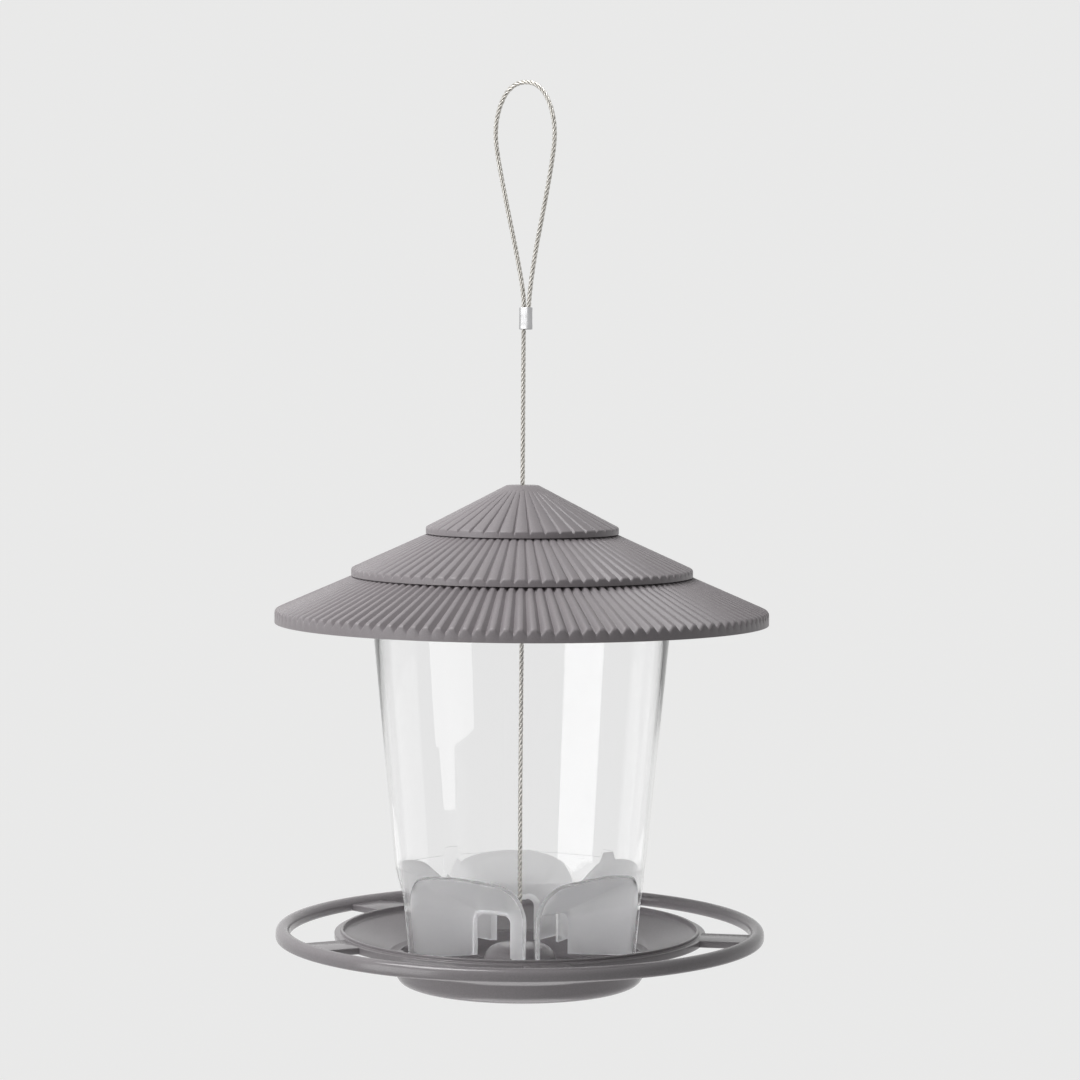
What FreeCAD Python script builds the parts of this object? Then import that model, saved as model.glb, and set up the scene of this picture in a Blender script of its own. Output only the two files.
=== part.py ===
import FreeCAD, Part
import math
import os

from FreeCAD import Vector

# Hanging silo bird feeder. A clear hopper with five feeding niches stands in a tray with a perch ring, under
# a ribbed roof that slides up a steel cable for filling. Millimetres, +Z up. While modelling, heights are
# measured from the middle plane of the perch ring; the finished solids are lowered so that the origin is the
# point where the cable loop hangs. Azimuths are seen from above: 0 faces -Y, and positive turns towards +X.
# Roundings are made of a few straight chords, so that the solids stay light to mesh.

# Driving dimensions of the tray
RIM_RADIUS = 83.0           # outer edge of the dish
RIM_TOP = 0.1               # flat rim and spokes above the ring's middle plane
RIM_WIDTH = 2.7             # flat rim outside the lip
RIM_EDGE = 3.1              # thickness of the rim at its outer edge
LIP_HEIGHT = 1.4
LIP_WIDTH = 1.3
TRAY_WALL = 2.2
LEDGE_DEPTH = 9.6           # seat of the hopper, below the ring's middle plane
LEDGE_WIDTH = 4.6
WELL_DEPTH = 11.0           # floor below the ledge
WELL_TAPER = 1.2            # well's wall leans in by this much at the floor
WELL_BEVEL = 3.0            # between the well's wall and floor
FOOT_FILLET = 4.4           # rounding between the flat base and the side
HUB_RADIUS = 16.2
HUB_HEIGHT = 15.0           # domed hub above the floor
HUB_SHOULDER = 8.0          # width of the rounding at the hub's top
HUB_CROWN = 0.6             # rise of the hub's top to its middle

# Driving dimensions of the perch ring
RING_RADIUS = 106.1         # middle of its section
RING_WIDTH = 6.2
RING_HEIGHT = 6.0
RING_CHAMFER = 1.4          # lower edges
RING_CROWN = 2.0            # upper edges
SPOKES = 5
SPOKE_WIDTH = 20.6
SPOKE_THICKNESS = 2.9
SPOKE_AZIMUTH = 8.2

# Driving dimensions of the hopper
HOPPER_BASE_RADIUS = 52.2
HOPPER_TOP_RADIUS = 68.0
HOPPER_HEIGHT = 162.2
HOPPER_WALL = 1.8
PARTING_STEP = 0.25         # upper cone stands proud of the lower part
NICHES = 5
NICHE_HEIGHT = 38.4         # mouth of a niche above the hopper's base
POST_WIDTH = 7.9            # wall left between two mouths
POST_AZIMUTH = 5.6
THROAT_DISTANCE = 22.6      # inner end of a niche from the axis
THROAT_HALF_WIDTH = 8.8
THROAT_HEIGHT = 18.9
THROAT_CORNER = 3.5
MOUTH_CORNER = 11.5
FOOT_HEIGHT = 1.2
FOOT_REACH = 3.6            # feet stand out of the wall
FOOT_WIDTH = 10.4

# Driving dimensions of the catches that hold the hopper's feet
CATCH_WALL = 1.7
CATCH_GRIP = 2.2            # length of a foot's end under its catch

# Driving dimensions of the roof
ROOF_RADIUS = 110.0
ROOF_DROP = 15.5            # rim below the hopper's top edge
ROOF_WALL = 1.8             # under the grooves
LOWER_BAND = 5.7            # upright rim of each tier, up to the crowns of its ribs
MIDDLE_RADIUS = 76.1
MIDDLE_LIFT = 20.9          # lower edge of the middle tier above the roof's rim
MIDDLE_BAND = 3.2
UPPER_RADIUS = 43.0
UPPER_LIFT = 39.7
UPPER_BAND = 2.8
APEX_RADIUS = 7.1
APEX_LIFT = 61.2
TIER_GAP = 0.6              # shadow gap under the rim of a tier
LOWER_RIBS = 120
MIDDLE_RIBS = 80
UPPER_RIBS = 40
LOWER_GROOVE = 1.7          # depth of the grooves, measured upright
MIDDLE_GROOVE = 1.2
UPPER_GROOVE = 1.0
LOWER_CROWN = 0.42          # flat share of a rib's pitch
MIDDLE_CROWN = 0.56
UPPER_CROWN = 0.76
RIB_BEND = 1.0              # bevel where the ribs turn down into the rim of each tier
SEAT_MARGIN = 2.0           # roof's seat outside the hopper's edge
COLLAR_DEPTH = 6.0          # roof's collar inside the hopper
COLLAR_WALL = 2.0
ROOF_HUB_RADIUS = 4.6
ROOF_HUB_DEPTH = 12.0

# Driving dimensions of the cable and its fittings
CABLE_DIAMETER = 2.1
ROOF_TRAVEL = 69.1          # free height of the roof below the ferrule
FERRULE_LENGTH = 9.8
FERRULE_WALL = 0.95
FERRULE_BEVEL = 0.5
LOOP_HEIGHT = 98.3          # from the ferrule up to the hanging point
LOOP_HALF_WIDTH = 16.2
LOOP_NECK = 8.4             # straight cable above the ferrule, up to the loop's first corner
LOOP_AZIMUTH = 60.0         # the loop's right leg stands towards this azimuth
CABLE_TAIL = 1.0            # stub under the stop
WASHER_RADIUS = 7.4
WASHER_THICKNESS = 1.2
STOP_RADIUS = 3.4
STOP_LENGTH = 8.0

# Clearances
SEAT_GAP = 0.2              # between pieces that stand on each other and move
FOOT_GAP = 0.3              # around the hopper's feet in their catches
WELL_GAP = 1.6              # hopper's wall inside the well
COLLAR_GAP = 0.6            # roof's collar inside the hopper
HUB_BORE_GAP = 0.3          # tray's hub around the cable
ROOF_BORE_GAP = 0.5         # roof's hub around the cable
CRIMP_GAP = 0.03            # crimped sleeves around the cable

# Heights and radii that follow
LEDGE_Z = -LEDGE_DEPTH
FLOOR_Z = LEDGE_Z - WELL_DEPTH
BASE_Z = FLOOR_Z - TRAY_WALL
HUB_Z = FLOOR_Z + HUB_HEIGHT
HOPPER_Z = LEDGE_Z + SEAT_GAP + FOOT_HEIGHT
HOPPER_TOP_Z = HOPPER_Z + HOPPER_HEIGHT
NICHE_TOP_Z = HOPPER_Z + NICHE_HEIGHT
ROOF_SEAT_Z = HOPPER_TOP_Z + SEAT_GAP
ROOF_Z = ROOF_SEAT_Z - ROOF_DROP
APEX_Z = ROOF_Z + APEX_LIFT
FERRULE_Z = APEX_Z + ROOF_TRAVEL
FERRULE_TOP_Z = FERRULE_Z + FERRULE_LENGTH
HANG_Z = FERRULE_TOP_Z + LOOP_HEIGHT
CABLE_RADIUS = CABLE_DIAMETER / 2
WELL_RADIUS = HOPPER_BASE_RADIUS + WELL_GAP
LEDGE_RADIUS = WELL_RADIUS + LEDGE_WIDTH
OUT_OF_REACH = 10.0         # how far a cutting solid runs past what it cuts
FOOT_CHORDS = 2             # chords in each rounding
HUB_CHORDS = 3
NICHE_CHORDS = 3

UP = Vector(0, 0, 1)
ORIGIN = Vector(0, 0, 0)


def at(point):
    """Point of a profile, given as (radius, height)."""
    return Vector(point[0], 0, point[1])


def turned(*profile):
    """Solid of revolution of a profile of straight runs."""
    points = [at(point) for point in profile]
    return Part.Face(Part.makePolygon(points + points[:1])).revolve(ORIGIN, UP, 360)


def sector(azimuth, width_angle, *profile):
    """Part of a solid of revolution, centred on an azimuth."""
    points = [at(point) for point in profile]
    piece = Part.Face(Part.makePolygon(points + points[:1])).revolve(ORIGIN, UP, width_angle)
    piece.rotate(ORIGIN, UP, azimuth - 90 - width_angle / 2)
    return piece


def facing(shape, azimuth):
    """Copy of a shape made along +X, turned to face an azimuth."""
    return shape.rotated(ORIGIN, UP, azimuth - 90)


def around(shape, count, azimuth):
    """Evenly spaced copies of a shape made along +X, the first at an azimuth."""
    return [facing(shape, azimuth + 360 / count * i) for i in range(count)]


def bend(before, corner, after, chords):
    """Points of a quarter-round in chords, between two points at equal distances from a square corner."""
    middle = [p + q - c for p, q, c in zip(before, after, corner)]
    points = []
    for i in range(chords + 1):
        turn = math.pi / 2 * i / chords
        points.append(tuple(m + (p - m) * math.cos(turn) + (q - m) * math.sin(turn)
                            for p, q, m in zip(before, after, middle)))
    return points


def flat_faced(outlines):
    """Solid with the given flat faces, each a list of corner points."""
    shell = Part.makeShell([Part.Face(Part.makePolygon(points + points[:1])) for points in outlines])
    shell.sewShape()
    solid = Part.makeSolid(shell)
    if solid.Volume < 0:
        solid.reverse()
    return solid


def sides(near, far):
    """Flat faces between two outlines of as many points."""
    corners = list(zip(near, far))
    return [[a, b, d, c] for (a, c), (b, d) in zip(corners, corners[1:] + corners[:1])]


# Tray
def tray_dish():
    """Dish, well and hollow domed hub, turned from one profile."""
    lip_out = RIM_RADIUS - RIM_WIDTH
    lip_in = lip_out - LIP_WIDTH
    dish_top = RIM_TOP - LIP_HEIGHT
    well_foot = WELL_RADIUS - WELL_TAPER
    side = well_foot + TRAY_WALL
    base_edge = side - FOOT_FILLET
    hub_top_edge = HUB_RADIUS - HUB_SHOULDER
    hub_neck_z = HUB_Z - HUB_CROWN - HUB_SHOULDER
    hollow = HUB_RADIUS - TRAY_WALL
    hollow_top = HUB_Z - TRAY_WALL
    bore = CABLE_RADIUS + HUB_BORE_GAP
    well_before = (well_foot, FLOOR_Z + WELL_BEVEL)
    well_after = (well_foot - WELL_BEVEL, FLOOR_Z)
    base_before = (base_edge, BASE_Z)
    base_after = (side, BASE_Z + FOOT_FILLET)
    hub_before = (HUB_RADIUS, hub_neck_z)
    hub_after = (hub_top_edge, HUB_Z - HUB_CROWN)
    hollow_before = (hub_top_edge, hollow_top)
    hollow_after = (hollow, hub_neck_z)
    return turned(
        (hollow, BASE_Z),
        *bend(base_before, (side, BASE_Z), base_after, FOOT_CHORDS),
        (WELL_RADIUS + TRAY_WALL, LEDGE_Z - 2 * TRAY_WALL),
        (LEDGE_RADIUS, LEDGE_Z - TRAY_WALL),
        (RIM_RADIUS - TRAY_WALL, RIM_TOP - RIM_EDGE - TRAY_WALL / 3),
        (RIM_RADIUS, RIM_TOP - RIM_EDGE),
        (RIM_RADIUS, RIM_TOP),
        (lip_out, RIM_TOP),
        (lip_out, RIM_TOP + LIP_HEIGHT),
        (lip_in, RIM_TOP + LIP_HEIGHT),
        (lip_in, dish_top),
        (LEDGE_RADIUS, LEDGE_Z),
        (WELL_RADIUS, LEDGE_Z),
        well_before,
        well_after,
        (HUB_RADIUS, FLOOR_Z),
        *bend(hub_before, (HUB_RADIUS, HUB_Z - HUB_CROWN), hub_after, HUB_CHORDS),
        (bore, HUB_Z),
        (bore, hollow_top),
        hollow_before,
        hollow_after,
    )


def catch():
    """Bayonet catch on the ledge: an end stop and a lip over the end of a foot, for a post at azimuth 90."""
    foot_radius = HOPPER_BASE_RADIUS + FOOT_REACH
    foot_angle = math.degrees(FOOT_WIDTH / 2 / foot_radius)
    grip_angle = math.degrees(CATCH_GRIP / foot_radius)
    gap_angle = math.degrees(FOOT_GAP / foot_radius)
    wall_angle = math.degrees(CATCH_WALL / foot_radius)
    outer = foot_radius + FOOT_GAP + CATCH_WALL
    under = HOPPER_Z + FOOT_GAP
    top = under + CATCH_WALL
    stop_far = 90 - foot_angle - gap_angle - wall_angle
    lip_near = 90 - foot_angle + grip_angle
    lip_inner = HOPPER_BASE_RADIUS + FOOT_REACH / 2
    lip = sector((stop_far + lip_near) / 2, lip_near - stop_far,
                 (lip_inner, under), (outer, under), (outer, top), (lip_inner, top))
    back = sector((stop_far + lip_near) / 2, lip_near - stop_far,
                  (foot_radius + FOOT_GAP, LEDGE_Z - TRAY_WALL / 2), (outer, LEDGE_Z - TRAY_WALL / 2),
                  (outer, top), (foot_radius + FOOT_GAP, top))
    stop = sector(stop_far + wall_angle / 2, wall_angle,
                  (lip_inner, LEDGE_Z - TRAY_WALL / 2), (outer, LEDGE_Z - TRAY_WALL / 2),
                  (outer, top), (lip_inner, top))
    return lip.fuse([back, stop]).removeSplitter()


def tray():
    """Dish with its catches, in one moulding."""
    catches = around(catch(), NICHES, POST_AZIMUTH)
    return tray_dish().fuse(catches).removeSplitter()


# Perch ring
def perch_ring():
    """Ring with bevelled edges and flat spokes that end on the dish's rim."""
    inner = RING_RADIUS - RING_WIDTH / 2
    outer = RING_RADIUS + RING_WIDTH / 2
    top = RING_HEIGHT / 2
    bottom = -RING_HEIGHT / 2
    ring = turned(
        (inner, top - RING_CROWN),
        (inner + RING_CROWN, top),
        (outer - RING_CROWN, top),
        (outer, top - RING_CROWN),
        (outer, bottom + RING_CHAMFER),
        (outer - RING_CHAMFER, bottom),
        (inner + RING_CHAMFER, bottom),
        (inner, bottom + RING_CHAMFER),
    )
    spoke_start = RIM_RADIUS - TRAY_WALL
    spoke = Part.makeBox(RING_RADIUS - spoke_start, SPOKE_WIDTH, SPOKE_THICKNESS,
                         Vector(spoke_start, -SPOKE_WIDTH / 2, RIM_TOP - SPOKE_THICKNESS))
    spoke = spoke.cut(Part.makeCylinder(RIM_RADIUS, 2 * RING_HEIGHT, Vector(0, 0, -RING_HEIGHT)))
    return ring.fuse(around(spoke, SPOKES, SPOKE_AZIMUTH)).removeSplitter()


# Hopper
def hopper_radius(z):
    """Outer radius of the hopper's cone at a height."""
    share = (z - HOPPER_Z) / HOPPER_HEIGHT
    return HOPPER_BASE_RADIUS + (HOPPER_TOP_RADIUS - HOPPER_BASE_RADIUS) * share


NICHE_TOP_RADIUS = hopper_radius(NICHE_TOP_Z)
MOUTH_HALF_ANGLE = math.pi / NICHES - POST_WIDTH / 2 / HOPPER_BASE_RADIUS
MOUTH_DISTANCE = HOPPER_BASE_RADIUS * math.cos(MOUTH_HALF_ANGLE)
MOUTH_HALF_WIDTH = HOPPER_BASE_RADIUS * math.sin(MOUTH_HALF_ANGLE)
SIDE_SLOPE = (MOUTH_HALF_WIDTH - THROAT_HALF_WIDTH) / (MOUTH_DISTANCE - THROAT_DISTANCE)
CEILING_SLOPE = (NICHE_HEIGHT - THROAT_HEIGHT) / (NICHE_TOP_RADIUS - THROAT_DISTANCE)
CORNER_SLOPE = (MOUTH_CORNER - THROAT_CORNER) / (MOUTH_DISTANCE - THROAT_DISTANCE)


def niche_arch(distance, grow, below):
    """Arch-shaped section of a niche across its axis, grown by a wall."""
    run = distance - THROAT_DISTANCE
    half = THROAT_HALF_WIDTH + run * SIDE_SLOPE + grow * math.hypot(1, SIDE_SLOPE)
    top = HOPPER_Z + THROAT_HEIGHT + run * CEILING_SLOPE + grow * math.hypot(1, CEILING_SLOPE)
    corner = THROAT_CORNER + run * CORNER_SLOPE + grow
    bottom = HOPPER_Z - below
    right = bend((half, top - corner), (half, top), (half - corner, top), NICHE_CHORDS)
    left = [(-y, z) for y, z in reversed(right)]
    return [Vector(distance, y, z) for y, z in [(half, bottom), *right, *left, (-half, bottom)]]


def niche(start, grow, below):
    """Funnel of a niche, from a distance near the axis to outside the wall."""
    end = NICHE_TOP_RADIUS + OUT_OF_REACH
    near = niche_arch(start, grow, below)
    far = niche_arch(end, grow, below)
    return flat_faced([near, far, *sides(near, far)])


def hopper_foot():
    """Foot of a post, with a flange that slides under a catch, for a post at azimuth 90."""
    reach = HOPPER_BASE_RADIUS + FOOT_REACH
    inner = HOPPER_BASE_RADIUS - HOPPER_WALL
    sole = HOPPER_Z - FOOT_HEIGHT
    angle = math.degrees(FOOT_WIDTH / reach)
    flange = sector(90, angle, (inner, sole), (reach, sole), (reach, HOPPER_Z), (inner, HOPPER_Z))
    post_angle = math.degrees(POST_WIDTH / 2 / HOPPER_BASE_RADIUS)
    knee = sector(90, post_angle, (inner, sole), (HOPPER_BASE_RADIUS, sole),
                  (HOPPER_BASE_RADIUS, HOPPER_Z + FOOT_HEIGHT), (inner, HOPPER_Z + FOOT_HEIGHT))
    return flange.fuse(knee)


def hopper():
    """Clear cone with niches pressed into its foot, in one moulding."""
    wall = turned(
        (HOPPER_BASE_RADIUS - HOPPER_WALL, HOPPER_Z),
        (HOPPER_BASE_RADIUS, HOPPER_Z),
        (NICHE_TOP_RADIUS, NICHE_TOP_Z),
        (NICHE_TOP_RADIUS + PARTING_STEP, NICHE_TOP_Z),
        (HOPPER_TOP_RADIUS, HOPPER_TOP_Z),
        (HOPPER_TOP_RADIUS - HOPPER_WALL, HOPPER_TOP_Z),
    )
    core = turned((0, HOPPER_Z), (HOPPER_BASE_RADIUS, HOPPER_Z), (HOPPER_TOP_RADIUS, HOPPER_TOP_Z),
                  (0, HOPPER_TOP_Z))
    first = POST_AZIMUTH + 180 / NICHES
    funnels = around(niche(THROAT_DISTANCE, HOPPER_WALL, 0), NICHES, first)
    linings = [funnel.common(core) for funnel in funnels]
    pockets = around(niche(THROAT_DISTANCE - HOPPER_WALL, 0, OUT_OF_REACH), NICHES, first)
    feet = around(hopper_foot(), NICHES, POST_AZIMUTH)
    return wall.fuse(linings).cut(pockets).fuse(feet).removeSplitter()


# Roof
def tier_slope(radius, lift, band, inner_radius, inner_lift):
    """Rise of a tier's slope per millimetre towards the axis, from the top of its rim to the tier above."""
    return (inner_lift - lift - band) / (radius - inner_radius)


def towards(points, target, share):
    """Points moved a share of their way to a target."""
    return [point + (target - point) * share for point in points]


def tier(radius, lift, band, inner_radius, inner_lift, ribs, groove, crown):
    """Ribbed cone on an upright rim. Each rib has a flat front, a flat crown and a V groove beside it."""
    slope = tier_slope(radius, lift, band, inner_radius, inner_lift)
    foot_z = ROOF_Z + lift
    rim_z = foot_z + band - RIB_BEND
    apex = Vector(0, 0, foot_z + band + radius * slope)
    bend_apex = Vector(0, 0, rim_z + radius * (slope + 1))
    pitch = 2 * math.pi / ribs

    def spot(turn, z):
        """Point on the flat front of the nearest rib, with turn in ribs."""
        off_middle = abs(turn - round(turn)) * pitch
        reach = radius * math.cos(pitch / 2) / math.cos(off_middle)
        return Vector(reach * math.cos(turn * pitch), reach * math.sin(turn * pitch), z)

    foot = [spot(i + 0.5, foot_z) for i in range(ribs)]
    rim = []
    for i in range(ribs):
        rim += [spot(i - crown / 2, rim_z), spot(i + crown / 2, rim_z), spot(i + 0.5, rim_z - groove)]
    shoulder = towards(rim, bend_apex, RIB_BEND / radius)
    fronts = [[foot[i - 1], foot[i], rim[3 * i + 2], rim[3 * i + 1], rim[3 * i], rim[3 * i - 1]]
              for i in range(ribs)]
    slopes = [[a, b, apex] for a, b in zip(shoulder, shoulder[1:] + shoulder[:1])]
    return flat_faced([foot, *fronts, *sides(rim, shoulder), *slopes])


def roof_under(rim_line, groove, at_radius):
    """Height of the smooth underside below a tier's slope, at a radius."""
    radius, lift, band = rim_line[:3]
    return ROOF_Z + lift + band + (radius - at_radius) * tier_slope(*rim_line) - groove - ROOF_WALL


def step_radius(rim_line, groove, radius):
    """Radius of the hollow's step under a tier's rim, clear of the grooves that run in under that rim."""
    return radius - (TIER_GAP + groove) / tier_slope(*rim_line) - ROOF_WALL


def roof():
    """Three ribbed tiers over a stepped hollow, with a collar that fits in the hopper and a cable hub."""
    lower = (ROOF_RADIUS, 0, LOWER_BAND, MIDDLE_RADIUS, MIDDLE_LIFT - TIER_GAP)
    middle = (MIDDLE_RADIUS, MIDDLE_LIFT, MIDDLE_BAND, UPPER_RADIUS, UPPER_LIFT - TIER_GAP)
    upper = (UPPER_RADIUS, UPPER_LIFT, UPPER_BAND, APEX_RADIUS, APEX_LIFT)
    tiers = tier(*lower, LOWER_RIBS, LOWER_GROOVE, LOWER_CROWN).fuse([
        tier(*middle, MIDDLE_RIBS, MIDDLE_GROOVE, MIDDLE_CROWN),
        tier(*upper, UPPER_RIBS, UPPER_GROOVE, UPPER_CROWN),
    ])
    lower_in = ROOF_RADIUS - ROOF_WALL
    middle_in = step_radius(lower, LOWER_GROOVE, MIDDLE_RADIUS)
    upper_in = step_radius(middle, MIDDLE_GROOVE, UPPER_RADIUS)
    apex_under = roof_under(upper, UPPER_GROOVE, APEX_RADIUS)
    hollow = turned(
        (0, ROOF_Z - OUT_OF_REACH),
        (lower_in, ROOF_Z - OUT_OF_REACH),
        (lower_in, roof_under(lower, LOWER_GROOVE, lower_in)),
        (middle_in, roof_under(lower, LOWER_GROOVE, middle_in)),
        (middle_in, roof_under(middle, MIDDLE_GROOVE, middle_in)),
        (upper_in, roof_under(middle, MIDDLE_GROOVE, upper_in)),
        (upper_in, roof_under(upper, UPPER_GROOVE, upper_in)),
        (APEX_RADIUS, apex_under),
        (0, apex_under),
    )
    collar_foot = HOPPER_TOP_Z - COLLAR_DEPTH
    collar_out = hopper_radius(collar_foot) - HOPPER_WALL - COLLAR_GAP
    collar_in = collar_out - COLLAR_WALL
    seat_out = HOPPER_TOP_RADIUS + SEAT_MARGIN
    buried = ROOF_WALL / 2
    collar = turned(
        (collar_in, collar_foot),
        (collar_out, collar_foot),
        (collar_out, ROOF_SEAT_Z),
        (seat_out, ROOF_SEAT_Z),
        (seat_out, roof_under(middle, MIDDLE_GROOVE, seat_out) + buried),
        (collar_in, roof_under(middle, MIDDLE_GROOVE, collar_in) + buried),
    )
    bore = CABLE_RADIUS + ROOF_BORE_GAP
    hub = Part.makeCylinder(ROOF_HUB_RADIUS, ROOF_HUB_DEPTH, Vector(0, 0, APEX_Z - ROOF_HUB_DEPTH))
    cable_way = Part.makeCylinder(bore, 2 * ROOF_HUB_DEPTH, Vector(0, 0, APEX_Z - 1.5 * ROOF_HUB_DEPTH))
    apex_cut = Part.makeCylinder(UPPER_RADIUS, APEX_LIFT, Vector(0, 0, APEX_Z))
    return tiers.cut([hollow, apex_cut]).fuse([collar, hub]).cut(cable_way).removeSplitter()


# Cable and its fittings
STRAND_PITCH = CABLE_DIAMETER + 2 * CRIMP_GAP
WASHER_Z = HUB_Z - TRAY_WALL - SEAT_GAP - WASHER_THICKNESS
STOP_Z = WASHER_Z - STOP_LENGTH
LOOP_TOP_Z = HANG_Z + CABLE_RADIUS

# Route of the cable in the plane of its loop, as (sideways, height): up the axis, round the loop and back
CABLE_ROUTE = [
    (0.0, STOP_Z - CABLE_TAIL),
    (0.0, FERRULE_TOP_Z + LOOP_NECK),
    (-0.78 * LOOP_HALF_WIDTH, FERRULE_TOP_Z + 0.61 * LOOP_HEIGHT),
    (-LOOP_HALF_WIDTH, FERRULE_TOP_Z + 0.83 * LOOP_HEIGHT),
    (-0.5 * LOOP_HALF_WIDTH, LOOP_TOP_Z),
    (0.5 * LOOP_HALF_WIDTH, LOOP_TOP_Z),
    (LOOP_HALF_WIDTH, FERRULE_TOP_Z + 0.83 * LOOP_HEIGHT),
    (0.84 * LOOP_HALF_WIDTH, FERRULE_TOP_Z + 0.61 * LOOP_HEIGHT),
    (STRAND_PITCH, FERRULE_TOP_Z + LOOP_NECK),
    (STRAND_PITCH, FERRULE_Z + FERRULE_BEVEL),
]
ARC_SHARE = 0.45            # share of the shorter run that an arc takes at each point
LONGEST_BEND = 0.95 * LOOP_NECK


def rounded_path(points):
    """Straight runs joined by tangent arcs, with the arcs' radii."""
    edges = []
    radii = []
    here = points[0]
    for before, corner, after in zip(points, points[1:], points[2:]):
        back = (before - corner).normalize()
        ahead = (after - corner).normalize()
        half_turn = (math.pi - back.getAngle(ahead)) / 2
        reach = min(ARC_SHARE * (before - corner).Length, ARC_SHARE * (after - corner).Length, LONGEST_BEND)
        radius = reach / math.tan(half_turn)
        inward = (back + ahead).normalize()
        middle = corner + inward * (radius / math.cos(half_turn) - radius)
        start = corner + back * reach
        end = corner + ahead * reach
        edges.append(Part.LineSegment(here, start).toShape())
        edges.append(Part.Arc(start, middle, end).toShape())
        radii.append(radius)
        here = end
    edges.append(Part.LineSegment(here, points[-1]).toShape())
    return Part.Wire(edges), radii


def hanging_cable():
    """Steel strand from the stop up the axis, round its loop and back into the ferrule."""
    points = [facing(Part.Vertex(side, 0, z), LOOP_AZIMUTH).Point for side, z in CABLE_ROUTE]
    path, radii = rounded_path(points)
    section = Part.Wire(Part.makeCircle(CABLE_RADIUS, points[0], UP))
    tube = path.makePipeShell([section], True, False)
    print("cable radii", [round(radius, 1) for radius in radii])
    print("cable length", round(path.Length, 1), "volume over section times length",
          round(tube.Volume / (math.pi * CABLE_RADIUS ** 2 * path.Length), 5))
    return tube


def obround(radius, z, height):
    """Upright solid around two strands that stand side by side along +X."""
    near = Part.makeCylinder(radius, height, Vector(0, 0, z))
    far = Part.makeCylinder(radius, height, Vector(STRAND_PITCH, 0, z))
    between = Part.makeBox(STRAND_PITCH, 2 * radius, height, Vector(0, -radius, z))
    return near.fuse([far, between]).removeSplitter()


def ferrule():
    """Oval crimped sleeve around the cable and its returning end."""
    bore = CABLE_RADIUS + CRIMP_GAP
    body = obround(bore + FERRULE_WALL, FERRULE_Z, FERRULE_LENGTH)
    ends = [edge for edge in body.Edges if abs(edge.BoundBox.ZLength) < 1e-6]
    body = body.makeChamfer(min(FERRULE_BEVEL, FERRULE_WALL / 2), ends)
    opening = obround(bore, FERRULE_Z - OUT_OF_REACH, FERRULE_LENGTH + 2 * OUT_OF_REACH)
    return facing(body.cut(opening), LOOP_AZIMUTH)


def ring_disc(radius, z, height):
    """Disc or sleeve crimped on the cable."""
    disc = Part.makeCylinder(radius, height, Vector(0, 0, z))
    return disc.cut(Part.makeCylinder(CABLE_RADIUS + CRIMP_GAP, height, Vector(0, 0, z)))


def main():
    """Builds every piece, lowers it to the hanging frame and writes it."""
    pieces = {
        "roof": roof(),
        "hopper": hopper(),
        "tray": tray(),
        "perch_ring": perch_ring(),
        "hanging_cable": hanging_cable(),
        "ferrule": ferrule(),
        "cable_stop": ring_disc(STOP_RADIUS, STOP_Z, STOP_LENGTH),
        "washer": ring_disc(WASHER_RADIUS, WASHER_Z, WASHER_THICKNESS),
    }
    os.makedirs("parts", exist_ok=True)
    print("hanging point above the ring's middle plane", round(HANG_Z, 2))
    for name, shape in pieces.items():
        placed = shape.translated(Vector(0, 0, -HANG_Z))
        placed.exportStep("parts/" + name + ".step")
        print(name, "solids", len(placed.Solids), "valid", placed.isValid(), "volume", round(placed.Volume))


main()
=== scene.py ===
# %% [markdown]
# # A hanging seed feeder
# The feeder hangs by a steel cable: a clear hopper stands in a dish with a perch ring, under a ribbed
# roof. The measured model comes first. Everything is built in metres and in the same frame, so each
# new piece goes where the model says, and the model's plain solids give way to finished pieces one by
# one. Most sizes are written in millimetres, up from the plane of the perch ring, and MM turns them
# into metres.

# %% Load the measured frame
import math

import bpy
from mathutils import Matrix, Vector


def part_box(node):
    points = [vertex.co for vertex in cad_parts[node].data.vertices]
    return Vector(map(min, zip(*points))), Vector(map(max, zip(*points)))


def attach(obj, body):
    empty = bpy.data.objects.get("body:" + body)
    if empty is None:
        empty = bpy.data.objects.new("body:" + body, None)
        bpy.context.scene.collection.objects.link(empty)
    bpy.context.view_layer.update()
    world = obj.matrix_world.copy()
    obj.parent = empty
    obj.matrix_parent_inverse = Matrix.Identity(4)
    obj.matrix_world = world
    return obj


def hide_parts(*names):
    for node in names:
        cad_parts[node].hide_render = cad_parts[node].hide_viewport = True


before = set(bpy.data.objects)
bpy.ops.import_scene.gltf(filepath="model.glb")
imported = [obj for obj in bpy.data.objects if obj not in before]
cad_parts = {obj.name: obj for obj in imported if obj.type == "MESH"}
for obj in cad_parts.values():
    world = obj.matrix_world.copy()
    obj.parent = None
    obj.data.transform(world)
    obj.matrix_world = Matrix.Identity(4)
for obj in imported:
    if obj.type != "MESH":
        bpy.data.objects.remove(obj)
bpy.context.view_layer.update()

MM = 0.001
ring_low, ring_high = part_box("perch_ring")
RING_Z = (ring_low.z + ring_high.z) / 2

# %% [markdown]
# ## Camera
# The photograph was taken with a long lens from a little above the roof, so the ring shows as a flat
# ellipse. The camera could be set by eye, but such ellipses give away a small error of tilt at once,
# so its place, tilt and lens were worked out from those of the roof, tray and ring. A long lens from
# far away keeps the sides of the hopper nearly parallel; a short one from near by would spread them.

# %% Place the camera
LENS_MM = 106.95
SENSOR_MM = 36
CAMERA_PLACE = Vector((0.00787, -1.42713, RING_Z + 0.25203))
CAMERA_PITCH = math.radians(3.0704)
CAMERA_ROLL = math.radians(0.3676)


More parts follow.
